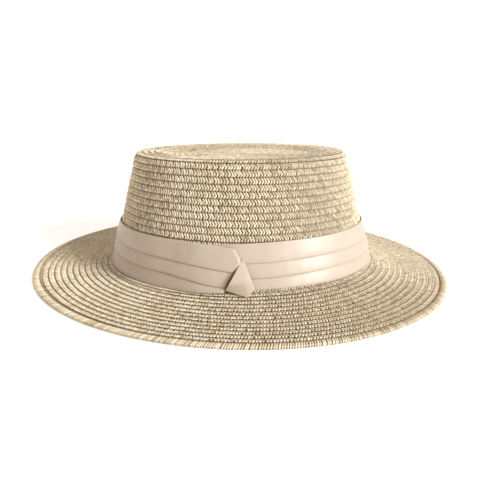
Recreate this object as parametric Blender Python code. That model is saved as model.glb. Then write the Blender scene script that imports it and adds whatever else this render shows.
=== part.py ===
"""Boater hat: an oval crown and brim of sewn straw braid, with a pleated satin ribbon round the crown.

Metres, +Z up. The origin is on the resting plane, under the middle of the brim. +X runs along the long axis
of the oval, and the ribbon's ends meet on the -Y side, where a folded tab covers them.

Every round piece is turned first and then pressed to the oval: a reach of 0 is the foot of the crown, and
the oval grows by the same amount all round as the reach grows.
"""

import math

import bmesh
import bpy

# Crown, on the outside of the straw
CROWN_HALF_LENGTH = 0.1005
CROWN_HALF_WIDTH = 0.0857
CROWN_HEIGHT = 0.0822
CROWN_TAPER = math.radians(14.8)
CROWN_LEAN = math.radians(1.5)
CROWN_BACK_FALL = 0.0020
SHOULDER_RADIUS = 0.0055
RIM_WIDTH = 0.0100
DISH_SLOPE_WIDTH = 0.0140
DISH_DEPTH = 0.0028
TIP_HALF_WIDTH = 0.0040

# Brim, from the foot of the crown to the outer edge
BRIM_WIDTH = 0.0579
BRIM_DROP = 0.0047
BRIM_CURL = 2.2
EDGE_ROW_WIDTH = 0.0060
EDGE_ROW_THICKNESS = 0.0023
EDGE_ROW_CHAMFER = 0.0006

# Straw braid
STRAW_WALL = 0.0020
CROWN_ROW = 0.00455
CROWN_FIRST_ROW = 0.0020
BRIM_ROW = 0.00425
ROW_STEP = 0.0009

# Satin ribbon
BAND_FOOT = 0.0015
BAND_HEIGHT = 0.0300
BAND_WALL = 0.0010
PLEAT_STEP = 0.0007
PLEAT_PUFF = 0.0002
BAND_LIFT = 0.0023
BAND_START = math.radians(-100)
BAND_END = math.radians(263.8)
BAND_END_SLANT = math.radians(7.8)
BAND_END_BLEND = math.radians(9)

# Folded tab over the ribbon's ends
TAB_WALL = 0.0012
TAB_PUFF = 0.0012

# Fits and facets
PIECE_GAP = 0.0003
TURN_FACETS = 48
SIDE_SECTIONS = 3
SHOULDER_SECTIONS = 4
DISH_SECTIONS = 5
BRIM_UNDER_SECTIONS = 6
BAND_STATIONS = 60
TAB_CELLS = 6

# The ribbon round the crown. turn: degrees, -90 at the tab, going on past 180 to the lapped end. foot, lower,
# upper and top: where the lower edge, the two creases and the upper edge run, as shares of the band's height.
# lift: how far that stretch lies over the ribbon's start, as a share of BAND_LIFT.
BAND_COLUMNS = ("turn", "foot", "lower", "upper", "top", "lift")
BAND_ROWS = (
    (-100, 0.04, 0.26, 0.57, 0.90, 0.0),
    (-94, 0.05, 0.27, 0.58, 0.98, 0.0),
    (-80, 0.05, 0.29, 0.60, 1.00, 0.0),
    (-45, 0.03, 0.32, 0.63, 1.01, 0.0),
    (0, 0.00, 0.29, 0.60, 1.00, 0.0),
    (90, 0.00, 0.32, 0.64, 1.00, 0.0),
    (180, 0.00, 0.30, 0.60, 1.00, 0.0),
    (225, 0.00, 0.30, 0.61, 1.00, 0.0),
    (243, 0.00, 0.27, 0.57, 1.00, 0.1),
    (254, 0.02, 0.18, 0.51, 0.98, 0.9),
    (259, 0.03, 0.13, 0.46, 0.93, 1.0),
    (263.8, 0.05, 0.10, 0.40, 0.67, 1.0),
)

# The tab's corners. across: from the middle of the front, in shares of the tab's width. up: height above the
# crown's foot, in shares of the band's height. out: stand-off from the ribbon, in shares of TAB_STAND_OFF.
TAB_WIDTH = 0.0165
TAB_STAND_OFF = 0.0030
TAB_CORNERS = {
    "apex_left": (0.03, 0.715, 0.10),
    "apex_right": (0.11, 0.705, 0.10),
    "foot_left": (-0.48, 0.105, 0.00),
    "foot_tip": (0.20, -0.010, 1.00),
    "foot_right": (0.47, 0.135, 0.30),
}


def smooth_step(value):
    held = min(max(value, 0.0), 1.0)
    return held * held * (3.0 - 2.0 * held)


def side_length():
    """Length of the crown's straight side, measured up its slope."""
    tangent_height = CROWN_HEIGHT - SHOULDER_RADIUS * (1.0 - math.sin(CROWN_TAPER))
    return tangent_height / math.cos(CROWN_TAPER)


def shoulder_length():
    return SHOULDER_RADIUS * (math.pi / 2 - CROWN_TAPER)


def shoulder_centre_reach():
    return -side_length() * math.sin(CROWN_TAPER) - SHOULDER_RADIUS * math.cos(CROWN_TAPER)


def crown_length():
    """Length of the crown's outline from its foot to the flat tip in the middle of its top."""
    top = CROWN_HALF_WIDTH - TIP_HALF_WIDTH + shoulder_centre_reach()
    return side_length() + shoulder_length() + top


def crown_mean(along):
    """Reach and height of the crown's outline, at a length along it from the foot."""
    side = side_length()
    if along <= side:
        return -along * math.sin(CROWN_TAPER), along * math.cos(CROWN_TAPER)
    turned = (along - side) / SHOULDER_RADIUS
    if turned <= math.pi / 2 - CROWN_TAPER:
        angle = CROWN_TAPER + turned
        reach = shoulder_centre_reach() + SHOULDER_RADIUS * math.cos(angle)
        return reach, CROWN_HEIGHT - SHOULDER_RADIUS * (1.0 - math.sin(angle))
    inward = along - side - shoulder_length()
    dish = DISH_DEPTH * smooth_step((inward - RIM_WIDTH) / DISH_SLOPE_WIDTH)
    return shoulder_centre_reach() - inward, CROWN_HEIGHT - dish


def crown_point(along, out):
    """Reach and height at a length along the crown's outline and a distance out from it."""
    step = 1e-5
    reach, height = crown_mean(along)
    before = crown_mean(max(along - step, 0.0))
    after = crown_mean(along + step)
    slope = math.atan2(after[1] - before[1], after[0] - before[0])
    return reach + out * math.sin(slope), height - out * math.cos(slope)


def crown_profile():
    """The crown's closed wall in section, from the inner tip down to the foot and up to the outer tip."""
    side = side_length()
    shoulder = side + shoulder_length()
    end = crown_length()
    level_foot = STRAW_WALL * math.tan(CROWN_TAPER)
    inner_along = [level_foot + (side - level_foot) * i / SIDE_SECTIONS for i in range(SIDE_SECTIONS)]
    inner_along += [side + shoulder_length() * i / SHOULDER_SECTIONS for i in range(SHOULDER_SECTIONS)]
    inner_along += [shoulder, shoulder + RIM_WIDTH]
    inner_along += [
        shoulder + RIM_WIDTH + DISH_SLOPE_WIDTH * i / DISH_SECTIONS for i in range(1, DISH_SECTIONS + 1)
    ]
    inner_along.append(end)
    inner = [crown_point(along, -STRAW_WALL) for along in inner_along]
    outer = [crown_point(0.0, 0.0)]
    for groove in grooves_above_band():
        outer.append(crown_point(groove, -ROW_STEP / 2))
        outer.append(crown_point(groove, ROW_STEP / 2))
    outer.append(crown_point(end, -ROW_STEP / 2))
    return inner[::-1] + outer


def grooves_above_band():
    """Lengths along the crown's outline where one row of braid laps over the next one down."""
    band_top = (BAND_FOOT + BAND_HEIGHT) / math.cos(CROWN_TAPER) + 2 * PIECE_GAP
    first = math.ceil((band_top - CROWN_FIRST_ROW) / CROWN_ROW)
    last = math.floor((crown_length() - CROWN_FIRST_ROW - CROWN_ROW / 2) / CROWN_ROW)
    return [CROWN_FIRST_ROW + CROWN_ROW * row for row in range(first, last + 1)]


def brim_sheet_width():
    """Reach of the brim's lapped rows, from the foot of the crown to the edge row."""
    return BRIM_WIDTH - EDGE_ROW_WIDTH


def brim_mean(reach):
    """Height of the brim's upper face above its outer edge."""
    share = min(max(reach / brim_sheet_width(), 0.0), 1.0)
    return BRIM_DROP * (1.0 - share) ** BRIM_CURL


def crown_seat():
    """Height of the crown's foot above the resting plane, before the lean."""
    return EDGE_ROW_THICKNESS + BRIM_DROP


def brim_profile():
    """The brim's closed wall in section: lapped rows above, smooth below."""
    width = brim_sheet_width()
    rows = max(1, round(width / BRIM_ROW))
    row = width / rows
    top = [(-STRAW_WALL, EDGE_ROW_THICKNESS + brim_mean(0.0) - PIECE_GAP)]
    top.append((PIECE_GAP, EDGE_ROW_THICKNESS + brim_mean(PIECE_GAP) - PIECE_GAP))
    for index in range(1, rows + 1):
        reach = min(index * row, width - PIECE_GAP)
        height = EDGE_ROW_THICKNESS + brim_mean(reach)
        top.append((reach, height + ROW_STEP / 2))
        if index < rows:
            top.append((reach, height - ROW_STEP / 2))
    under = []
    for index in range(BRIM_UNDER_SECTIONS + 1):
        reach = -STRAW_WALL + (width - PIECE_GAP + STRAW_WALL) * index / BRIM_UNDER_SECTIONS
        under.append((reach, EDGE_ROW_THICKNESS + brim_mean(reach) - STRAW_WALL))
    return top + under[::-1]


def edge_row_profile():
    """The outermost row of braid, which isn't lapped and rests flat on its underside."""
    inner = brim_sheet_width()
    chamfer = EDGE_ROW_CHAMFER
    thick = EDGE_ROW_THICKNESS
    return [
        (inner, chamfer),
        (inner, thick - chamfer),
        (inner + chamfer, thick),
        (BRIM_WIDTH - 2 * chamfer, thick),
        (BRIM_WIDTH, thick - 1.5 * chamfer),
        (BRIM_WIDTH, chamfer),
        (BRIM_WIDTH - chamfer, 0.0),
        (inner + chamfer, 0.0),
    ]


def lean(x, y, height, share):
    """Tips a point of the crown or the brim about the Y axis, round the crown's seat."""
    slope = math.tan(CROWN_LEAN) * share
    above = height - crown_seat()
    return x - above * slope, y, height + x * slope


def on_oval(turn, reach, height, share):
    x = (CROWN_HALF_LENGTH + reach) * math.cos(turn)
    y = (CROWN_HALF_WIDTH + reach) * math.sin(turn)
    return lean(x, y, height, share)


def place_crown(turn, reach, height):
    behind = math.sin(turn) * (CROWN_HALF_WIDTH + reach) / CROWN_HALF_WIDTH
    fall = CROWN_BACK_FALL / 2 * behind * height / CROWN_HEIGHT
    return on_oval(turn, reach, crown_seat() + height - fall, 1.0)


def place_brim(turn, reach, height):
    share = min(max(reach / brim_sheet_width(), 0.0), 1.0)
    return on_oval(turn, reach, height, (1.0 - share) ** BRIM_CURL)


def place_edge(turn, reach, height):
    return on_oval(turn, reach, height, 0.0)


def on_side(turn, up, out):
    """A point at a height up the crown's side and a distance out from the straw."""
    reach = -up * math.tan(CROWN_TAPER) + out * math.cos(CROWN_TAPER)
    return place_crown(turn, reach, up + out * math.sin(CROWN_TAPER))


def material(name, colour, roughness, sheen=0.0):
    made = bpy.data.materials.new(name)
    made.use_nodes = True
    shader = made.node_tree.nodes["Principled BSDF"]
    shader.inputs["Base Color"].default_value = (*colour, 1.0)
    shader.inputs["Roughness"].default_value = roughness
    shader.inputs["Metallic"].default_value = 0.0
    shader.inputs["Sheen Weight"].default_value = sheen
    return made


def finish(bm, name, look):
    """Turns a bmesh into the named object, facing out and shaded smooth between its sharp edges."""
    bmesh.ops.recalc_face_normals(bm, faces=bm.faces[:])
    if bm.calc_volume(signed=True) < 0.0:
        bmesh.ops.reverse_faces(bm, faces=bm.faces[:])
    mesh = bpy.data.meshes.new(name)
    bm.to_mesh(mesh)
    bm.free()
    mesh.shade_smooth()
    mesh.set_sharp_from_angle(angle=math.radians(35))
    mesh.materials.append(look)
    made = bpy.data.objects.new(name, mesh)
    bpy.context.scene.collection.objects.link(made)
    return made


def turned(profile, place, closed):
    """Spins a section a full turn and presses it to the oval with place(turn, reach, height)."""
    bm = bmesh.new()
    points = [bm.verts.new((CROWN_HALF_WIDTH + reach, 0.0, height)) for reach, height in profile]
    edges = [bm.edges.new(pair) for pair in zip(points, points[1:])]
    if closed:
        edges.append(bm.edges.new((points[-1], points[0])))
    bmesh.ops.spin(
        bm,
        geom=points + edges,
        cent=(0.0, 0.0, 0.0),
        axis=(0.0, 0.0, 1.0),
        angle=2 * math.pi,
        steps=TURN_FACETS,
        use_merge=True,
        use_duplicate=False,
    )
    bmesh.ops.remove_doubles(bm, verts=bm.verts[:], dist=1e-6)
    if not closed:
        bmesh.ops.holes_fill(bm, edges=[edge for edge in bm.edges if edge.is_boundary], sides=TURN_FACETS)
    for vert in bm.verts:
        turn = math.atan2(vert.co.y, vert.co.x)
        reach = math.hypot(vert.co.x, vert.co.y) - CROWN_HALF_WIDTH
        vert.co = place(turn, reach, vert.co.z)
    return bm


def band_values(turn):
    """The ribbon's edges, creases and lift at a turn in radians, read between the rows of its table."""
    degrees = math.degrees(turn)
    rows = [dict(zip(BAND_COLUMNS, row)) for row in BAND_ROWS]
    for before, after in zip(rows, rows[1:]):
        if degrees <= after["turn"]:
            break
    share = smooth_step((degrees - before["turn"]) / (after["turn"] - before["turn"]))
    return {name: before[name] + (after[name] - before[name]) * share for name in BAND_COLUMNS}


def band_section():
    """The ribbon's section as (edge or crease, share towards the next one up, distance out)."""
    proud = BAND_WALL + PLEAT_STEP
    puffed = BAND_WALL + PLEAT_STEP / 2 + PLEAT_PUFF
    outer = []
    for crease in range(3):
        outer += [(crease, 0.0, proud), (crease, 0.5, puffed), (crease, 1.0, BAND_WALL)]
    inner = [(2, 1.0, 0.0), (2, 0.0, 0.0), (1, 0.0, 0.0), (0, 0.0, 0.0)]
    return outer + inner


def place_band(share, crease, between, out):
    """A point of the ribbon, at a share of its length, between one edge or crease and the next one up."""
    turn = BAND_START + (BAND_END - BAND_START) * share
    values = band_values(turn)
    lines = [values[name] for name in ("foot", "lower", "upper", "top")]
    height_share = lines[crease] + (lines[crease + 1] - lines[crease]) * between
    slant = smooth_step((turn - BAND_END + BAND_END_BLEND) / BAND_END_BLEND)
    turn += BAND_END_SLANT * height_share * slant
    out += PIECE_GAP + BAND_LIFT * values["lift"]
    return on_side(turn, BAND_FOOT + BAND_HEIGHT * height_share, out)


def make_band(look):
    """Draws the ribbon out straight from its section, then wraps it round the crown."""
    bm = bmesh.new()
    section = band_section()
    section_layer = bm.verts.layers.int.new("section")
    station_layer = bm.verts.layers.int.new("station")
    points = []
    for index, (crease, between, out) in enumerate(section):
        point = bm.verts.new((0.0, out, crease + between))
        point[section_layer] = index
        points.append(point)
    front = bm.faces.new(points)
    for station in range(1, BAND_STATIONS + 1):
        grown = bmesh.ops.extrude_face_region(bm, geom=[front])["geom"]
        moved = [item for item in grown if isinstance(item, bmesh.types.BMVert)]
        bmesh.ops.translate(bm, vec=(1.0 / BAND_STATIONS, 0.0, 0.0), verts=moved)
        for point in moved:
            point[station_layer] = station
        if station > 1:
            bmesh.ops.delete(bm, geom=[front], context="FACES_ONLY")
        front = next(item for item in grown if isinstance(item, bmesh.types.BMFace))
    for vert in bm.verts:
        crease, between, out = section[vert[section_layer]]
        vert.co = place_band(vert[station_layer] / BAND_STATIONS, crease, between, out)
    return finish(bm, "band", look)


def tab_corner(name):
    across, up, out = TAB_CORNERS[name]
    clear = PIECE_GAP + BAND_WALL + PLEAT_STEP + PIECE_GAP
    return across * TAB_WIDTH, BAND_FOOT + BAND_HEIGHT * up, clear + TAB_STAND_OFF * out


def place_tab(across, down):
    """A point of the tab's inner face, across it from left to right and down it from its apex."""
    def mix(one, other, share):
        return [a + (b - a) * share for a, b in zip(one, other)]

    top = mix(tab_corner("apex_left"), tab_corner("apex_right"), across)
    if across < 0.5:
        foot = mix(tab_corner("foot_left"), tab_corner("foot_tip"), 2 * across)
    else:
        foot = mix(tab_corner("foot_tip"), tab_corner("foot_right"), 2 * across - 1)
    x, up, out = mix(top, foot, down)
    out += TAB_PUFF * math.sin(math.pi * across) * math.sin(math.pi * down)
    reach = -up * math.tan(CROWN_TAPER)
    turn = -math.acos(x / (CROWN_HALF_LENGTH + reach))
    return on_side(turn, up, out)


def make_tab(look):
    bm = bmesh.new()
    bmesh.ops.create_grid(bm, x_segments=TAB_CELLS, y_segments=TAB_CELLS, size=0.5)
    for vert in bm.verts:
        vert.co = place_tab(vert.co.x + 0.5, 0.5 - vert.co.y)
    made = finish(bm, "tab", look)
    wall = made.modifiers.new("wall", "SOLIDIFY")
    wall.thickness = TAB_WALL
    wall.offset = 1.0
    return made


def main():
    for old in list(bpy.data.objects):
        bpy.data.objects.remove(old)
    straw = material("paper_straw", (0.72, 0.61, 0.42), 0.75)
    edge_straw = material("edge_braid", (0.70, 0.58, 0.40), 0.75)
    satin = material("ivory_satin", (0.80, 0.70, 0.58), 0.38, 0.3)
    finish(turned(crown_profile(), place_crown, closed=False), "crown", straw)
    finish(turned(brim_profile(), place_brim, closed=True), "brim", straw)
    finish(turned(edge_row_profile(), place_edge, closed=True), "edge_row", edge_straw)
    make_band(satin)
    make_tab(satin)


main()
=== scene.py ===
import math

import bmesh
import bpy
import numpy as np
from mathutils import Matrix, Vector


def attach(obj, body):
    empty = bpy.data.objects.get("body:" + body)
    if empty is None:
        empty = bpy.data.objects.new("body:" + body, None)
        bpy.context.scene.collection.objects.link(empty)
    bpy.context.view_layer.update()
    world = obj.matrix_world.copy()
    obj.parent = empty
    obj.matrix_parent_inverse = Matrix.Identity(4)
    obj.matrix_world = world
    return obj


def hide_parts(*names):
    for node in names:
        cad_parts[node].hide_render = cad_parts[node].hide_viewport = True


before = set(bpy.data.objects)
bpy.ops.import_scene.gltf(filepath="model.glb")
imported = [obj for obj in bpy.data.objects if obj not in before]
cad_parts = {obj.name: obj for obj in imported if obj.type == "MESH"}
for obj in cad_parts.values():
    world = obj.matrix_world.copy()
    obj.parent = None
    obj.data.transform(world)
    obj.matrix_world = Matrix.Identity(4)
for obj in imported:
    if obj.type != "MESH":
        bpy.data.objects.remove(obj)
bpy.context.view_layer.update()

# Straw shell, the same sizes as the solids
CROWN_HALF_LENGTH = 0.1005
CROWN_HALF_WIDTH = 0.0857
CROWN_HEIGHT = 0.0822
CROWN_TAPER = math.radians(14.8)
CROWN_LEAN = math.radians(1.5)
CROWN_BACK_FALL = 0.0020
SHOULDER_RADIUS = 0.0055
RIM_WIDTH = 0.0100
DISH_SLOPE_WIDTH = 0.0140
DISH_DEPTH = 0.0028
BRIM_WIDTH = 0.0579
BRIM_DROP = 0.0047
BRIM_CURL = 2.2
EDGE_ROW_WIDTH = 0.0060
EDGE_ROW_THICKNESS = 0.0023
CROWN_SEAT = EDGE_ROW_THICKNESS + BRIM_DROP
BRIM_SHEET = BRIM_WIDTH - EDGE_ROW_WIDTH

# Braid: one row's visible width on the crown and on the brim, and the straws' spacing, height and wander
CROWN_ROW = 0.00455
CROWN_FIRST_ROW = 0.0013
BRIM_ROW = 0.00425
BRIM_FIRST_ROW = 0.0009
STRAW_PITCH = 0.00188
STRAW_RISE = 0.00030
STRAW_WANDER = 0.00014

# Ribbon
BAND_FOOT = 0.0015
BAND_HEIGHT = 0.0300
BAND_LIFT = 0.0023
BAND_START = math.radians(-104)
BAND_END = math.radians(263.8)
BAND_END_BLEND = math.radians(9)
CLOTH = 0.00022
PIECE_GAP = 0.0003

# The ribbon round the crown, a row for each place: turn in degrees, -90 at the tab. Where the foot, the lower
# crease, the upper crease and the top run, as shares of the band's height. Lift, as a share of BAND_LIFT.
BAND_ROWS = (
    (-104, 0.04, 0.26, 0.57, 0.960, 0.0),
    (-94, 0.05, 0.27, 0.58, 0.975, 0.0),
    (-80, 0.05, 0.29, 0.60, 1.00, 0.0),
    (-45, 0.03, 0.32, 0.63, 1.01, 0.0),
    (0, 0.00, 0.29, 0.60, 1.00, 0.0),
    (90, 0.00, 0.32, 0.64, 1.00, 0.0),
    (180, 0.00, 0.30, 0.60, 1.00, 0.0),
    (225, -0.02, 0.30, 0.61, 1.00, 0.0),
    (243, -0.03, 0.27, 0.57, 0.99, 0.1),
    (254, -0.03, 0.18, 0.51, 0.968, 0.9),
    (259, -0.02, 0.13, 0.46, 0.940, 1.0),
    (263.8, 0.00, 0.10, 0.40, 0.878, 1.0),
)

# Where the lapped end of the ribbon stops: share of the band's height, and degrees past the last row above
BAND_TIP = (
    (0.0, -0.2),
    (0.137, 0.9),
    (0.40, 3.6),
    (0.60, 6.1),
    (0.64, 6.4),
    (0.68, 6.1),
    (0.87, 4.1),
    (1.0, 3.5),
)

# Folded tab, its corners as (across in tab widths, up in band heights, out in stand-offs)
TAB_WIDTH = 0.0165
TAB_STAND_OFF = 0.0030
TAB_PUFF = 0.0041
TAB_CORNERS = {
    "apex_left": (0.03, 0.670, 0.30),
    "apex_right": (0.10, 0.665, 0.30),
    "foot_left": (-0.59, 0.050, 0.05),
    "foot_tip": (0.22, -0.095, 0.56),
    "foot_right": (0.45, 0.060, 0.10),
}

# What the tab has to clear: the ribbon's wall and one step of its pleats
BAND_WALL = 0.0010
PLEAT_STEP = 0.0007


def smooth_step(value):
    """Eases from 0 to 1, and stays there."""
    held = np.clip(value, 0.0, 1.0)
    return held * held * (3.0 - 2.0 * held)


def crown_outline():
    """The crown's outline against length, from its foot over the shoulder to the middle of the top."""
    side = (CROWN_HEIGHT - SHOULDER_RADIUS * (1.0 - math.sin(CROWN_TAPER))) / math.cos(CROWN_TAPER)
    shoulder = SHOULDER_RADIUS * (math.pi / 2 - CROWN_TAPER)
    centre = -side * math.sin(CROWN_TAPER) - SHOULDER_RADIUS * math.cos(CROWN_TAPER)
    full = side + shoulder + CROWN_HALF_WIDTH + centre
    along = np.linspace(0.0, full, 4000)
    turned = CROWN_TAPER + np.clip((along - side) / SHOULDER_RADIUS, 0.0, math.pi / 2 - CROWN_TAPER)
    inward = np.clip(along - side - shoulder, 0.0, None)
    dish = DISH_DEPTH * smooth_step((inward - RIM_WIDTH) / DISH_SLOPE_WIDTH)
    straight = np.minimum(along, side)
    reach = -straight * math.sin(CROWN_TAPER)
    height = straight * math.cos(CROWN_TAPER)
    reach += SHOULDER_RADIUS * (np.cos(turned) - math.cos(CROWN_TAPER)) - inward
    height += SHOULDER_RADIUS * (np.sin(turned) - math.sin(CROWN_TAPER)) - dish
    slope = np.arctan2(np.gradient(height), np.gradient(reach))
    return along, reach, height, slope


FULL = 2 * math.pi
BACK = math.radians(90)
OUTLINE = crown_outline()
CROWN_LENGTH = float(OUTLINE[0][-1])


def on_oval(turn, reach, height, share):
    """A point of the hat from its turn, its reach out from the crown's foot and its height."""
    slope = math.tan(CROWN_LEAN) * share
    x = (CROWN_HALF_LENGTH + reach) * np.cos(turn)
    y = (CROWN_HALF_WIDTH + reach) * np.sin(turn)
    return np.stack([x - (height - CROWN_SEAT) * slope, y, height + x * slope], axis=-1)


def on_crown(turn, along, out):
    """A point at a length along the crown's outline and a distance out from it."""
    held = np.clip(along, 0.0, CROWN_LENGTH)
    reach = np.interp(held, OUTLINE[0], OUTLINE[1])
    height = np.interp(held, OUTLINE[0], OUTLINE[2])
    slope = np.interp(held, OUTLINE[0], OUTLINE[3])
    reach = reach + out * np.sin(slope)
    height = height - out * np.cos(slope)
    behind = np.sin(turn) * (CROWN_HALF_WIDTH + reach) / CROWN_HALF_WIDTH
    fall = CROWN_BACK_FALL / 2 * behind * height / CROWN_HEIGHT
    return on_oval(turn, reach, CROWN_SEAT + height - fall, 1.0)


def on_side(turn, up, out):
    """A point at a height up the crown's side and a distance out from the straw."""
    reach = -up * math.tan(CROWN_TAPER) + out * math.cos(CROWN_TAPER)
    height = up + out * math.sin(CROWN_TAPER)
    behind = np.sin(turn) * (CROWN_HALF_WIDTH + reach) / CROWN_HALF_WIDTH
    fall = CROWN_BACK_FALL / 2 * behind * height / CROWN_HEIGHT
    return on_oval(turn, reach, CROWN_SEAT + height - fall, 1.0)


def on_brim(turn, reach, out):
    """A point at a reach along the brim and a distance up from its upper face."""
    share = np.clip(reach / BRIM_SHEET, 0.0, 1.0)
    lift = (1.0 - share) ** BRIM_CURL
    return on_oval(turn, reach, EDGE_ROW_THICKNESS + BRIM_DROP * lift + out, lift)


# A row's section: share across it from its tucked edge to its lip, and height in millimetres
LAP_ACROSS = (-0.06, 0.00, 0.10, 0.25, 0.50, 0.78, 0.90, 0.96, 1.00, 1.05)
LAP_HEIGHT = (-0.74, -0.68, -0.50, -0.24, 0.00, 0.20, 0.26, 0.20, 0.02, -0.40)


def lap_height(across):
    """The height that a row's straws lie at, for a share across it."""
    return np.interp(across, LAP_ACROSS, LAP_HEIGHT) / 1000 - STRAW_RISE


def coordinates(mesh):
    """A mesh's points, as rows of x, y and z."""
    held = np.empty(len(mesh.vertices) * 3, np.float32)
    mesh.vertices.foreach_get("co", held)
    return held.reshape(-1, 3).astype(float)


def move_to(mesh, points):
    """Moves a mesh's points to new places."""
    mesh.vertices.foreach_set("co", np.ascontiguousarray(points, np.float32).ravel())
    mesh.update()


def shown(name, mesh, look):
    """Puts a mesh into the scene in its finish."""
    mesh.materials.clear()
    mesh.materials.append(look)
    made = bpy.data.objects.new(name, mesh)
    bpy.context.scene.collection.objects.link(made)
    return made


def mesh_of(bm, name):
    """Turns a finished bmesh into a mesh."""
    mesh = bpy.data.meshes.new(name)
    bm.to_mesh(mesh)
    bm.free()
    return mesh


# One repeat of the plait is two straws of each slant. Along and width are in pitches, rises in straw rises.
# Across is 0 at the row's upper or inner edge and 1 at its lip.
STRAW_COLUMNS = (
    "foot_along",
    "foot_across",
    "tip_along",
    "tip_across",
    "width",
    "rise",
    "foot_rise",
    "tip_rise",
)
STRAWS = (
    (0.04, 0.03, 0.92, 0.70, 0.88, 1.00, 0.10, 0.10),
    (1.08, 0.03, 1.86, 0.64, 0.76, 0.74, -0.05, 0.00),
    (1.10, 0.52, 0.42, 1.02, 0.84, 1.00, 0.30, 0.50),
    (2.02, 0.56, 1.44, 1.01, 0.78, 0.84, 0.20, 0.35),
)

# The edge row's straws all slant one way and turn down over the edge
EDGE_STRAWS = (
    (1.20, 0.00, 0.10, 1.06, 0.88, 1.00, 0.20, 0.40),
    (2.20, 0.00, 1.10, 1.05, 0.80, 0.80, 0.10, 0.30),
)

# A straw narrows at both ends: share along it against share of its width
STRAW_STATIONS = (0.0, 0.34, 0.80, 1.0)
STRAW_WIDTHS = (0.70, 1.00, 0.96, 0.58)


def plait_unit(straws, cells, fullness):
    """Two pitches of plait: flattened straws, drawn out straight along X, with Y across the row."""
    bm = bmesh.new()
    for straw in straws:
        row = dict(zip(STRAW_COLUMNS, straw))
        grid = bmesh.ops.create_grid(bm, x_segments=cells[0], y_segments=cells[1], size=0.5)["verts"]
        rim = [edge for vert in grid for edge in vert.link_edges if edge.is_boundary]
        bmesh.ops.contextual_create(bm, geom=list(set(rim)))
        for vert in grid:
            side = vert.co.x * 2.0
            share = float(np.interp((vert.co.y + 0.5) * 3.0, (0, 1, 2, 3), STRAW_STATIONS))
            width = row["width"] * fullness * float(np.interp(share, STRAW_STATIONS, STRAW_WIDTHS))
            arch = math.sin(math.pi * share)
            level = row["foot_rise"] + (row["tip_rise"] - row["foot_rise"]) * share
            round_off = abs(side) ** 3
            crest = (level + (row["rise"] - level) * arch) * (1.0 - 0.35 * round_off) - 1.25 * round_off
            along = row["foot_along"] + (row["tip_along"] - row["foot_along"]) * share
            across = row["foot_across"] + (row["tip_across"] - row["foot_across"]) * share
            vert.co = ((along + side * width / 2) * STRAW_PITCH, across, crest * STRAW_RISE)
    bmesh.ops.recalc_face_normals(bm, faces=bm.faces[:])
    return bm


def drawn_out(name, straws, cells, fullness, coarseness, length):
    """A straight plait of that length, by repeating its unit, with a number of its own for each straw."""
    unit = mesh_of(plait_unit(straws, cells, fullness), name)
    unit.shade_smooth()
    start = bpy.data.objects.new(name, unit)
    bpy.context.scene.collection.objects.link(start)
    repeat = start.modifiers.new("repeat", "ARRAY")
    repeat.use_relative_offset = False
    repeat.use_constant_offset = True
    repeat.constant_offset_displace = (2 * STRAW_PITCH, 0.0, 0.0)
    repeat.count = max(1, round(length / (2 * STRAW_PITCH * coarseness)))
    bpy.context.view_layer.update()
    mesh = bpy.data.meshes.new_from_object(start.evaluated_get(bpy.context.evaluated_depsgraph_get()))
    count = repeat.count
    each = len(unit.vertices) // len(straws)
    bpy.data.objects.remove(start)
    rng = np.random.default_rng(7)
    tone = rng.normal(0.0, 1.0, count * len(straws))
    mesh.attributes.new("straw_tone", "FLOAT", "POINT").data.foreach_set(
        "value", np.repeat(tone, each).astype(np.float32)
    )
    local = coordinates(mesh)
    local[:, 0] *= length / (count * 2 * STRAW_PITCH)
    return mesh, local, np.repeat(rng.normal(0.0, 1.0, count * len(straws)), each)


def laid(name, mesh, points, look):
    """Puts a mesh's points in place, turns its faces outwards and shows it."""
    move_to(mesh, points)
    bm = bmesh.new()
    bm.from_mesh(mesh)
    if bm.calc_volume(signed=True) < 0.0:
        mesh.flip_normals()
    bm.free()
    return shown(name, mesh, look)


def run_along(surface, turns, level):
    """The length run so far along a line round the hat, at each of its turns."""
    line = surface(turns, level, 0.0 * turns)
    return np.concatenate([[0.0], np.cumsum(np.linalg.norm(np.diff(line, axis=0), axis=1))])


def sewn(name, plait, surface, rows, look):
    """Sews a straight plait round the hat in a spiral.

    rows holds the first and last turn, the level at the start, the pitch, and the lowest and highest level.
    """
    first, last, start, pitch, low, high = rows
    turns = np.linspace(first, last + math.radians(2), int((last - first) / math.radians(0.5)) + 5)
    level = np.clip(start + pitch * (turns / FULL + 0.5), low, high)
    run = run_along(surface, turns, level)
    mesh, local, wander = drawn_out(name, *plait[:4], float(np.interp(last, turns, run)))
    turn = np.interp(local[:, 0] + STRAW_WANDER * wander, run, turns)
    across = np.clip(local[:, 1], -0.06, 1.05)
    level = start + pitch * turn / FULL + pitch * across
    past = np.maximum(level - high, 0.0) + np.maximum(low - level, 0.0)
    level = np.clip(level, low, high)
    out = plait[4] * lap_height(across) + local[:, 2] * (1.0 + 0.18 * wander)
    out = out - np.minimum(1.5 * past, 0.0006)
    return laid(name, mesh, surface(turn, level, out), look)


def hex_colour(text):
    """An sRGB hex value as linear red, green, blue and full alpha."""
    parts = [int(text[i : i + 2], 16) / 255 for i in (0, 2, 4)]
    return [c / 12.92 if c <= 0.04045 else ((c + 0.055) / 1.055) ** 2.4 for c in parts] + [1.0]


def node(tree, kind, settings=(), links=()):
    """Adds a node, with (name, value) settings on it or its inputs and (input, socket) links into it."""
    made = tree.nodes.new(kind)
    for name, value in settings:
        if isinstance(name, str) and hasattr(made, name):
            setattr(made, name, value)
        else:
            made.inputs[name].default_value = value
    for name, socket in links:
        tree.links.new(socket, made.inputs[name])
    return made


def finish_tree(name):
    """A new material and its empty node tree."""
    made = bpy.data.materials.new(name)
    made.use_nodes = True
    tree = made.node_tree
    tree.nodes.clear()
    return made, tree


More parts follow.
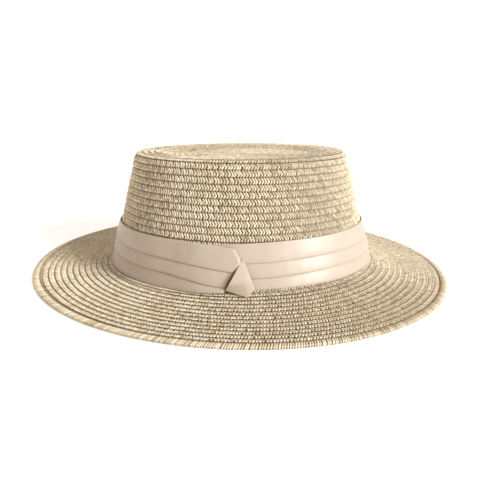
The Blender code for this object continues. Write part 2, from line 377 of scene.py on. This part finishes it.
# Sizes of the patterns in the finishes, in metres. The paper has patches of 26 mm and fibre of 0.7 mm. The
# satin has patches of 17 mm and threads of 0.4 mm, coarser than real ones, so that they show at all.
PAPER_PATCH = 1 / 38
PAPER_FIBRE = 1 / 1400
SATIN_PATCH = 1 / 60
SATIN_THREAD = 1 / 2600


def paper_straw(name, dark, mid, light):
    """Twisted paper straw: matt, with a faint sheen and fine fibre, each straw a little lighter or darker."""
    made, tree = finish_tree(name)
    place = node(tree, "ShaderNodeTexCoord")
    tone = node(tree, "ShaderNodeAttribute", [("attribute_name", "straw_tone")])
    where = [("Vector", place.outputs["Object"])]
    broad = node(tree, "ShaderNodeTexNoise", [("Scale", 1.0 / PAPER_PATCH), ("Detail", 3.0)], where)
    fine = node(tree, "ShaderNodeTexNoise", [("Scale", 1.0 / PAPER_FIBRE), ("Detail", 2.0)], where)
    share = node(
        tree,
        "ShaderNodeMath",
        [("operation", "MULTIPLY_ADD"), (1, 0.15), (2, 0.26)],
        [(0, tone.outputs["Fac"])],
    )
    mixed = node(
        tree,
        "ShaderNodeMath",
        [("operation", "MULTIPLY_ADD"), (1, 0.25)],
        [(0, broad.outputs["Fac"]), (2, share.outputs["Value"])],
    )
    fibred = node(
        tree,
        "ShaderNodeMath",
        [("operation", "MULTIPLY_ADD"), (1, 0.30)],
        [(0, fine.outputs["Fac"]), (2, mixed.outputs["Value"])],
    )
    ramp = node(tree, "ShaderNodeValToRGB", [], [("Fac", fibred.outputs["Value"])])
    ramp.color_ramp.elements[0].position = 0.20
    ramp.color_ramp.elements[0].color = hex_colour(dark)
    ramp.color_ramp.elements[1].position = 0.90
    ramp.color_ramp.elements[1].color = hex_colour(light)
    ramp.color_ramp.elements.new(0.52).color = hex_colour(mid)
    bump = node(
        tree,
        "ShaderNodeBump",
        [("Strength", 0.25), ("Distance", 0.0002)],
        [("Height", fine.outputs["Fac"])],
    )
    shader = node(
        tree,
        "ShaderNodeBsdfPrincipled",
        [("Roughness", 0.62), ("IOR", 1.45), ("Sheen Weight", 0.05)],
        [("Base Color", ramp.outputs["Color"]), ("Normal", bump.outputs["Normal"])],
    )
    node(tree, "ShaderNodeOutputMaterial", [], [("Surface", shader.outputs["BSDF"])])
    return made


def ivory_satin():
    """Woven satin ribbon: smooth and softly glossy, with a very fine grain from its threads."""
    made, tree = finish_tree("ivory_satin")
    place = node(tree, "ShaderNodeTexCoord")
    where = [("Vector", place.outputs["Object"])]
    soft = node(tree, "ShaderNodeTexNoise", [("Scale", 1.0 / SATIN_PATCH), ("Detail", 2.0)], where)
    ramp = node(tree, "ShaderNodeValToRGB", [], [("Fac", soft.outputs["Fac"])])
    ramp.color_ramp.elements[0].position = 0.3
    ramp.color_ramp.elements[0].color = hex_colour("BBAD9E")
    ramp.color_ramp.elements[1].position = 0.7
    ramp.color_ramp.elements[1].color = hex_colour("C0B3A4")
    weave = node(tree, "ShaderNodeTexNoise", [("Scale", 1.0 / SATIN_THREAD), ("Detail", 1.0)], where)
    bump = node(
        tree,
        "ShaderNodeBump",
        [("Strength", 0.12), ("Distance", 0.0001)],
        [("Height", weave.outputs["Fac"])],
    )
    shader = node(
        tree,
        "ShaderNodeBsdfPrincipled",
        [("Roughness", 0.42), ("IOR", 1.5), ("Sheen Weight", 0.25), ("Sheen Roughness", 0.4)],
        [("Base Color", ramp.outputs["Color"]), ("Normal", bump.outputs["Normal"])],
    )
    node(tree, "ShaderNodeOutputMaterial", [], [("Surface", shader.outputs["BSDF"])])
    return made


straw_look = paper_straw("paper_straw_braid", "B9A98B", "DFD0B4", "F6ECDA")
# The straw in the laps is a dark brown: painted shade that stands in for the shadow in the gaps and grooves
# between the straws
lap_painted_shade_look = paper_straw("paper_straw_painted_shade_in_the_laps", "524329", "6A5A3F", "857455")
satin = ivory_satin()

BAND_TABLE = np.array(BAND_ROWS, float)

# The ribbon's way across its folds, from the hem at its foot to the hem at its top. Each point has the line
# that it starts from (0 foot, 1 lower crease, 2 upper crease), the share of the way up to the next line,
# millimetres further up, and millimetres out from the straw.
FOLD_FOOT = ((0, 0.0, 3.00, 0.30), (0, 0.0, 0.20, 0.40), (0, 0.0, -0.14, 0.72), (0, 0.0, 0.00, 1.14))

# The front of a pleat: share of the way up it, and millimetres out
FOLD_FRONT = (
    (0.03, 1.38),
    (0.10, 1.48),
    (0.25, 1.46),
    (0.45, 1.32),
    (0.65, 1.10),
    (0.82, 0.84),
    (0.93, 0.56),
    (1.0, 0.36),
)

# The tuck behind a pleat's upper fold: millimetres further up, and millimetres out
FOLD_TUCK = (
    (2.60, 0.24),
    (2.95, 0.32),
    (3.00, 0.46),
    (2.60, 0.60),
    (0.60, 0.78),
    (0.10, 0.86),
    (-0.18, 1.00),
    (-0.12, 1.20),
)
FOLD_TOP = ((2, 1.0, 0.02, 0.72), (2, 1.0, 0.10, 0.56), (2, 1.0, -0.10, 0.40), (2, 1.0, -3.00, 0.34))


def band_lines(turn):
    """The ribbon's edges, creases and lift at a turn, on a smooth line through the rows of its table."""
    degrees = np.degrees(turn)
    slope = np.gradient(BAND_TABLE[:, 1:], BAND_TABLE[:, 0], axis=0)
    which = np.clip(np.searchsorted(BAND_TABLE[:, 0], degrees) - 1, 0, len(BAND_TABLE) - 2)
    before, after = BAND_TABLE[which], BAND_TABLE[which + 1]
    span = after[:, :1] - before[:, :1]
    t = (degrees[:, None] - before[:, :1]) / span
    value = before[:, 1:] * (1 + 2 * t) * (1 - t) ** 2 + after[:, 1:] * t * t * (3 - 2 * t)
    return value + span * (slope[which] * t * (1 - t) ** 2 - slope[which + 1] * t * t * (1 - t))


def fold_path():
    """All the points across the ribbon, from its foot hem through two tucks to its top hem."""
    points = list(FOLD_FOOT)
    for line in range(3):
        front = FOLD_FRONT if line < 2 else FOLD_FRONT[:5] + ((0.88, 0.92), (0.98, 0.84))
        points += [(line, between, 0.0, out) for between, out in front]
        if line < 2:
            points += [(line, 1.0, extra, out) for extra, out in FOLD_TUCK]
    return np.array(points + list(FOLD_TOP), float)


def sheet_grid(name, long_cells, cross_cells, place):
    """A flat sheet of cloth as a grid, moved to place(share along, share across)."""
    bm = bmesh.new()
    bmesh.ops.create_grid(bm, x_segments=long_cells, y_segments=cross_cells, size=0.5)
    mesh = mesh_of(bm, name)
    flat = coordinates(mesh)
    move_to(mesh, place(flat[:, 0] + 0.5, flat[:, 1] + 0.5))
    mesh.shade_smooth()
    return mesh


def ribbon_band(look):
    """The pleated satin ribbon: one strip with two hems and two tucks, lapped over itself at the tab."""
    path = fold_path()
    end_roll = 0.006

    def place(share, cross):
        """A point of the ribbon, from its share along and its share across."""
        index = np.clip(np.round(cross * (len(path) - 1)).astype(int), 0, len(path) - 1)
        line, between, extra, out = (path[index, column] for column in range(4))
        run = share * (1.0 + end_roll)
        over = np.clip(run - 1.0, 0.0, None) / end_roll
        turn = BAND_START + (BAND_END - BAND_START) * (np.minimum(run, 1.0) - over * end_roll * 0.6)
        values = band_lines(turn)
        lines = values[:, :4]
        rows = np.arange(len(turn))
        step = line.astype(int)
        foot = lines[rows, step]
        level = foot + (lines[rows, step + 1] - foot) * between
        slant = smooth_step((turn - BAND_END + BAND_END_BLEND) / BAND_END_BLEND)
        tip = np.interp(level, [row[0] for row in BAND_TIP], [row[1] for row in BAND_TIP])
        turn = turn + np.radians(tip) * slant
        soft = 0.10 * np.sin(9 * turn + 5 * level) + 0.07 * np.sin(23 * turn - 8 * level + 1.0)
        soft = soft + 0.05 * np.sin(61 * turn + 3 * level + 2.0)
        out = (out + soft * np.clip(out - 0.5, 0.0, 1.0) - 0.55 * over ** 2 - 0.35 * over) / 1000
        out = out + PIECE_GAP + BAND_LIFT * np.clip(values[:, 4], 0.0, 1.05)
        return on_side(turn, BAND_FOOT + BAND_HEIGHT * level + extra / 1000, out)

    made = shown("ribbon_band", sheet_grid("ribbon_band", 340, len(path) - 1, place), look)
    thickness = made.modifiers.new("cloth", "SOLIDIFY")
    thickness.thickness = CLOTH
    thickness.offset = 0.0
    return made


def ribbon_tab(look):
    """The folded end of the ribbon over the lap: a ridge across it, both sides rolled, the foot tucked in."""

    def corner(name):
        """A corner's place: across, up, and out from the straw."""
        across, up, out = TAB_CORNERS[name]
        clear = 2 * PIECE_GAP + BAND_WALL + PLEAT_STEP
        return np.array((across * TAB_WIDTH, BAND_FOOT + BAND_HEIGHT * up, clear + TAB_STAND_OFF * out))

    def place(share, cross):
        """A point of the tab, from its share across and its share up."""
        across = np.clip((share - 0.04) / 0.85, 0.0, 1.0)
        rolled = np.clip(np.maximum((0.04 - share) / 0.04, (share - 0.89) / 0.11), 0.0, 1.0)
        down = np.clip((1.0 - cross) / 0.96, 0.0, 1.0)
        tucked = np.clip((0.04 - cross) / 0.04, 0.0, 1.0)
        top = corner("apex_left") + (corner("apex_right") - corner("apex_left")) * across[:, None]
        left = np.clip(across / 0.72, 0.0, 1.0)[:, None]
        right = np.clip((across - 0.72) / 0.28, 0.0, 1.0)[:, None]
        foot = corner("foot_left") + (corner("foot_tip") - corner("foot_left")) * left
        foot = foot + (corner("foot_right") - corner("foot_tip")) * right
        straight = corner("foot_left") + (corner("foot_right") - corner("foot_left")) * across[:, None]
        foot = straight + (foot - straight) * smooth_step((down - 0.45) / 0.55)[:, None]
        point = top + (foot - top) * down[:, None]
        fallen = (corner("apex_left")[1] - point[:, 1]) / (corner("apex_left")[1] - corner("foot_tip")[1])
        ridge = 0.60 - 0.16 * (across - 0.5)
        above = np.clip(fallen / ridge, 0.0, 1.0)
        below = np.clip((fallen - ridge) / (1.0 - ridge), 0.0, 1.0)
        swell = smooth_step(above) ** 0.8 * (1.0 - 0.95 * below ** 0.9)
        leaning = 0.0012 * (1.0 - across) * np.sin(math.pi * np.clip(fallen / 0.85, 0.0, 1.0))
        tilt = 0.90 - 0.40 * across + 1.2 * (across - 0.5) * below
        out = point[:, 2] + TAB_PUFF * swell * tilt + leaning
        right_side = share > 0.5
        out = out - np.where(right_side, 0.0009, 0.0014 + leaning) * rolled ** 1.6
        out = out - 0.0008 * tucked
        x = point[:, 0] + np.where(right_side, 0.0007 * (0.2 + down), 0.0005) * rolled
        up = point[:, 1] + tucked * 0.0004
        turn = -np.arccos(x / (CROWN_HALF_LENGTH - up * math.tan(CROWN_TAPER)))
        return on_side(turn, up, out)

    made = shown("ribbon_tab", sheet_grid("ribbon_tab", 50, 50, place), look)
    thickness = made.modifiers.new("cloth", "SOLIDIFY")
    thickness.thickness = CLOTH
    thickness.offset = -1.0
    return made


def wall(name, section, columns, look):
    """Wraps a grid round the hat and welds it shut. section holds a place function for each line round it."""
    bm = bmesh.new()
    bmesh.ops.create_grid(bm, x_segments=columns, y_segments=len(section) - 1, size=0.5)
    mesh = mesh_of(bm, name)
    flat = coordinates(mesh)
    turn = BACK - FULL + FULL * np.round((flat[:, 0] + 0.5) * columns) / columns
    which = np.round((flat[:, 1] + 0.5) * (len(section) - 1)).astype(int)
    points = np.zeros_like(flat)
    for index, place in enumerate(section):
        chosen = which == index
        points[chosen] = place(turn[chosen])
    move_to(mesh, points)
    bm = bmesh.new()
    bm.from_mesh(mesh)
    bmesh.ops.remove_doubles(bm, verts=bm.verts[:], dist=1e-6)
    bmesh.ops.holes_fill(bm, edges=[edge for edge in bm.edges if edge.is_boundary], sides=columns)
    bmesh.ops.recalc_face_normals(bm, faces=bm.faces[:])
    if bm.calc_volume(signed=True) < 0.0:
        bmesh.ops.reverse_faces(bm, faces=bm.faces[:])
    bm.to_mesh(mesh)
    bm.free()
    mesh.shade_smooth()
    mesh.set_sharp_from_angle(angle=math.radians(40))
    return shown(name, mesh, look)


# Each plait: its straws, the cells across and along a straw, its fullness, its coarseness, its laps' depth
CROWN_PLAIT = (STRAWS, (3, 3), 0.93, 1.0, 1.0)
BRIM_PLAIT = (STRAWS, (3, 3), 1.07, 1.0, 0.64)
FOOT_PLAIT = (STRAWS, (3, 3), 1.04, 1.0, 1.0)
EDGE_PLAIT = (EDGE_STRAWS, (3, 3), 1.20, 0.80, 1.0)
INSIDE_PLAIT = (STRAWS, (2, 1), 1.45, 1.3, 1.0)


# Turns are counted from the hat's right side, and a spiral's start from its back, three quarters of a turn on
BACK_SHARE = 0.75


def sew_crown(name, top_row, bottom_row, look):
    """Rows of the crown's spiral between two row numbers, counted up from the foot, joined at the back."""
    first = BACK - FULL * (top_row + 1)
    last = BACK - FULL * bottom_row
    start = CROWN_FIRST_ROW + CROWN_ROW * BACK_SHARE
    made = sewn(name, CROWN_PLAIT, on_crown, (first, last, start, -CROWN_ROW, 0.0, CROWN_LENGTH), look)
    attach(made, "root")
    return made


def sew_brim(name, first_row, last_row, look):
    """Rows of the brim's spiral between two row numbers, counted out from the crown, joined at the back."""
    first = -3 * BACK + FULL * first_row
    last = -3 * BACK + FULL * (last_row + 1)
    start = BRIM_FIRST_ROW - BRIM_ROW * BACK_SHARE
    made = sewn(name, BRIM_PLAIT, on_brim, (first, last, start, BRIM_ROW, 0.0, BRIM_SHEET), look)
    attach(made, "root")
    return made


# Row numbers: the crown's are counted up from its foot and start behind the ribbon, the brim's out from the
# crown.
side_top = int((CROWN_LENGTH - CROWN_FIRST_ROW) / CROWN_ROW) + 1
band_top_row = 6
middle_row = 12
shoulder_row = 18
last_rows = 13
sew_crown("crown_top_straw", side_top, shoulder_row + 1, straw_look)
sew_crown("crown_upper_straw", shoulder_row, middle_row + 1, straw_look)
sew_crown("crown_middle_straw", middle_row, band_top_row, straw_look)
sew_brim("brim_inner_straw", 0, 6, straw_look)
sew_brim("brim_outer_straw", 7, 12, straw_look)


def sew_last_rows(name, look):
    """The brim's last two rows, up to and under the edge row."""
    first = -3 * BACK + FULL * last_rows
    start = BRIM_FIRST_ROW - BRIM_ROW * BACK_SHARE
    rows = (first, first + FULL * 2, start, BRIM_ROW, 0.0, BRIM_SHEET + PIECE_GAP)
    made = sewn(name, BRIM_PLAIT, on_brim, rows, look)
    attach(made, "root")
    return made


sew_last_rows("brim_last_straw", straw_look)

# The row at the crown's foot turns from the crown's side to the brim on a small round
FOOT_ROUND = 0.0033


def on_foot(turn, share, out):
    """A point on the round between crown and brim: share 0 on the crown's side and 1 on the brim."""
    angle = math.pi / 2 * (1.0 - np.clip(share, 0.0, 1.1))
    climb = 0.005 * np.clip(-share, 0.0, 1.0)
    inward = FOOT_ROUND * math.tan(CROWN_TAPER)
    reach = (FOOT_ROUND + inward) * (1.0 - np.sin(angle)) - inward + out * np.sin(angle) - 0.26 * climb
    height = CROWN_SEAT + FOOT_ROUND * (1.0 - np.cos(angle)) + out * np.cos(angle) + climb
    return on_oval(turn, reach, height, 1.0)


def foot_row(low, high):
    """A row of plait on that round, between two shares of it."""

    def place(turn, across, out):
        """A point of the row, from its turn and its share across."""
        return on_foot(turn, low + (high - low) * across, out + 0.0006 + 0.6 * lap_height(across))

    return place


# The edge row's upper face: share across it, millimetres below its full height, and share of its width
EDGE_ACROSS = (0.00, 0.10, 0.50, 0.80, 0.92, 0.98, 1.06)
EDGE_DROP = (-0.80, -0.42, -0.30, -0.34, -0.56, -1.00, -1.60)
EDGE_REACH = (0.00, 0.10, 0.50, 0.83, 0.95, 1.00, 0.99)


def on_edge(turn, across, out):
    """A point on the edge row's upper face, which turns down over its outer side."""
    held = np.clip(across, 0.0, 1.06)
    reach = BRIM_SHEET + 0.0001 + (EDGE_ROW_WIDTH - 0.0003) * np.interp(held, EDGE_ACROSS, EDGE_REACH)
    drop = np.interp(held, EDGE_ACROSS, EDGE_DROP) / 1000
    return on_oval(turn, reach, EDGE_ROW_THICKNESS + drop + out, 0.0)


def sew_ring(name, plait, surface, rise, look):
    """One row of plait laid once round the hat, closed at the back."""
    turns = np.linspace(BACK - FULL, BACK + 0.05, 730)
    run = run_along(surface, turns, 0.5 + 0.0 * turns)
    mesh, local, wander = drawn_out(name, *plait[:4], float(np.interp(BACK, turns, run)))
    turn = np.interp(local[:, 0] + STRAW_WANDER * wander, run, turns)
    out = local[:, 2] * (rise + 0.1 * wander)
    return laid(name, mesh, surface(turn, local[:, 1], out), look)


foot_upper_straw = sew_ring("foot_upper_straw", FOOT_PLAIT, foot_row(-0.45, 0.38), 0.9, straw_look)
foot_lower_straw = sew_ring("foot_lower_straw", FOOT_PLAIT, foot_row(0.33, 1.05), 0.9, straw_look)
edge_straw = sew_ring("edge_straw", EDGE_PLAIT, on_edge, 1.1, straw_look)
for made, kind in ((foot_upper_straw, "straw"), (foot_lower_straw, "straw"), (edge_straw, "edge_braid")):
    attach(made, "root")

# The sewn walls that the straws lie on: how far under the straws' crests their two faces are
WALL_UNDER = 0.00095
WALL_INSIDE = 0.00175
CENTRE_SLOT = 0.0004


def crown_section():
    """The crown's wall in section, down its inside from the middle of the top and up its outside."""
    levels = np.linspace(0.0, CROWN_LENGTH - CENTRE_SLOT, 60)
    skins = [(level, -WALL_INSIDE) for level in levels[::-1]] + [(level, -WALL_UNDER) for level in levels]
    return [lambda turn, level=level, out=out: on_crown(turn, level, out) for level, out in skins]


def brim_section():
    """The brim's wall in section: up inside the crown's foot, out along the upper side, back underneath."""
    levels = np.linspace(-0.0013, BRIM_SHEET, 24)
    skins = [(levels[0], 0.0004)] + [(level, -WALL_UNDER) for level in levels[1:]]
    skins += [(level, -WALL_INSIDE) for level in levels[::-1]]
    section = [lambda turn, level=level, out=out: on_brim(turn, level, out) for level, out in skins]
    return section + section[:1]


# The edge row's wall in section, in millimetres: out from its inner side, and up from the floor
EDGE_SECTION = (
    (0.0, 0.5),
    (0.0, 1.5),
    (0.4, 1.75),
    (2.8, 1.85),
    (4.9, 1.75),
    (5.4, 1.4),
    (5.5, 0.9),
    (5.2, 0.2),
    (4.8, 0.0),
    (0.5, 0.0),
)


def edge_section():
    """The edge row's closed wall: low and flat, with a rounded outer side, resting on the floor."""
    section = [
        lambda turn, out=out, up=up: on_oval(turn, BRIM_SHEET + out / 1000, up / 1000 + 0.0 * turn, 0.0)
        for out, up in EDGE_SECTION
    ]
    return section + section[:1]


# The other side of the braid, inside the crown and under the brim, in a coarser plait
INSIDE_RISE = 0.45
INSIDE_SINK = 0.0007
BRIM_UNDER_ROWS = 14


def inside_crown(turn, level, out):
    """A point on the crown's inner face, out from it towards the head."""
    return on_crown(turn, level, -WALL_INSIDE - INSIDE_RISE * (out + INSIDE_SINK))


def under_brim(turn, level, out):
    """A point on the brim's lower face, out from it downwards."""
    return on_brim(turn, level, -WALL_INSIDE - INSIDE_RISE * (out + INSIDE_SINK))


def sew_inside(name, surface, rows):
    """The rows of the braid's other side, on one of the two inner faces."""
    made = sewn(name, INSIDE_PLAIT, surface, rows, straw_look)
    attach(made, "root")
    return made


crown_turns = (BACK - FULL * (side_top + 1), BACK)
crown_rows = (CROWN_FIRST_ROW + CROWN_ROW * BACK_SHARE, -CROWN_ROW, 0.0005, CROWN_LENGTH)
brim_turns = (-3 * BACK, -3 * BACK + FULL * BRIM_UNDER_ROWS)
brim_rows = (BRIM_FIRST_ROW - BRIM_ROW * BACK_SHARE, BRIM_ROW, -0.001, BRIM_SHEET)
sew_inside("crown_inside_straw", inside_crown, crown_turns + crown_rows)
sew_inside("brim_under_straw", under_brim, brim_turns + brim_rows)

# The walls under the straws wear the dark lap finish, painted shade that shows through the gaps between the
# straws
crown_wall = wall("crown_wall", crown_section(), 192, lap_painted_shade_look)
brim_wall = wall("brim_wall", brim_section(), 192, lap_painted_shade_look)
edge_wall = wall("edge_wall", edge_section(), 192, lap_painted_shade_look)
for made, solid in ((crown_wall, "crown"), (brim_wall, "brim"), (edge_wall, "edge_row")):
    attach(made, "root")
    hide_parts(solid)

band = ribbon_band(satin)
tab = ribbon_tab(satin)
for made, solid in ((band, "band"), (tab, "tab")):
    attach(made, "root")
    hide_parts(solid)

# Camera, from the photo's perspective: the hat is seen from in front and a little above
CAMERA_BACK = 0.367
CAMERA_UP = 0.1223
CAMERA_PITCH = 0.304
CAMERA_YAW = 0.006
CAMERA_ROLL = -0.003
FOCAL_PIXELS = 477.825
IMAGE_SIDE = 488

camera_data = bpy.data.cameras.new("camera")
camera_data.sensor_width = 36.0
camera_data.sensor_fit = "HORIZONTAL"
camera_data.lens = 36.0 * FOCAL_PIXELS / IMAGE_SIDE
camera_data.clip_start = 0.01
camera = bpy.data.objects.new("camera", camera_data)
bpy.context.scene.collection.objects.link(camera)
bpy.context.scene.camera = camera
looking = Vector(
    (
        math.sin(CAMERA_YAW) * math.cos(CAMERA_PITCH),
        math.cos(CAMERA_YAW) * math.cos(CAMERA_PITCH),
        -math.sin(CAMERA_PITCH),
    )
)
right = Vector((math.cos(CAMERA_YAW), -math.sin(CAMERA_YAW), 0.0))
upward = right.cross(looking)
turned_right = right * math.cos(CAMERA_ROLL) + upward * math.sin(CAMERA_ROLL)
turned_up = upward * math.cos(CAMERA_ROLL) - right * math.sin(CAMERA_ROLL)
pose = Matrix((turned_right, turned_up, -looking)).transposed().to_4x4()
pose.translation = Vector((0.0, -CAMERA_BACK, CAMERA_UP))
leaned = Matrix.Translation((0.0, 0.0, CROWN_SEAT)) @ Matrix.Rotation(-CROWN_LEAN, 4, "Y")
camera.matrix_world = leaned @ pose

# Pale floor and soft studio light. The floor glows a little, so that it stays as white as the photo's.
FLOOR_HALF = 6.0
FLOOR_GLOW = 0.40
WORLD_STRENGTH = 1.02
WORLD_TAN = (0.585, 0.515, 0.445, 1.0)
WORLD_WHITE = (1.0, 1.0, 1.0, 1.0)
WHITE_WALL = (0.10, 0.995, 0.0)
WINDOW_STRENGTH = 3.75
WINDOW_SPREAD = math.radians(24)
WINDOW_FROM = (1.0, -0.60, 0.50)

bm = bmesh.new()
bmesh.ops.create_grid(bm, x_segments=2, y_segments=2, size=FLOOR_HALF)
floor_look, floor_tree = finish_tree("white_paper_floor")
floor_shader = node(
    floor_tree,
    "ShaderNodeBsdfPrincipled",
    [
        ("Base Color", hex_colour("FFFFFF")),
        ("Roughness", 0.9),
        ("Emission Color", hex_colour("FFFFFF")),
        ("Emission Strength", FLOOR_GLOW),
    ],
)
node(floor_tree, "ShaderNodeOutputMaterial", [], [("Surface", floor_shader.outputs["BSDF"])])
floor = shown("floor", mesh_of(bm, "floor"), floor_look)

world = bpy.data.worlds.new("studio")
bpy.context.scene.world = world
world.use_nodes = True
studio = world.node_tree
# The world is white behind the hat, where the wall shows, and a soft tan elsewhere, which warms the shade
around = node(studio, "ShaderNodeTexCoord")
behind = node(
    studio,
    "ShaderNodeVectorMath",
    [("operation", "DOT_PRODUCT"), (1, WHITE_WALL)],
    [(0, around.outputs["Generated"])],
)
sky = node(
    studio,
    "ShaderNodeMapRange",
    [("From Min", 0.60), ("From Max", 0.86)],
    [("Value", behind.outputs["Value"])],
)
tint = node(studio, "ShaderNodeValToRGB", [], [("Fac", sky.outputs["Result"])])
tint.color_ramp.interpolation = "EASE"
tint.color_ramp.elements[0].color = WORLD_TAN
tint.color_ramp.elements[1].color = WORLD_WHITE
studio.links.new(tint.outputs["Color"], studio.nodes["Background"].inputs["Color"])
studio.nodes["Background"].inputs["Strength"].default_value = WORLD_STRENGTH

# A large soft window from the right, a little in front of the hat
sun = bpy.data.lights.new("window_light", "SUN")
sun.energy = WINDOW_STRENGTH
sun.angle = WINDOW_SPREAD
sun.color = (1.0, 0.995, 0.985)
window = bpy.data.objects.new("window_light", sun)
bpy.context.scene.collection.objects.link(window)
window.rotation_euler = Vector(WINDOW_FROM).to_track_quat("Z", "Y").to_euler()

view = bpy.context.scene.view_settings
view.view_transform = "Standard"
view.look = "None"
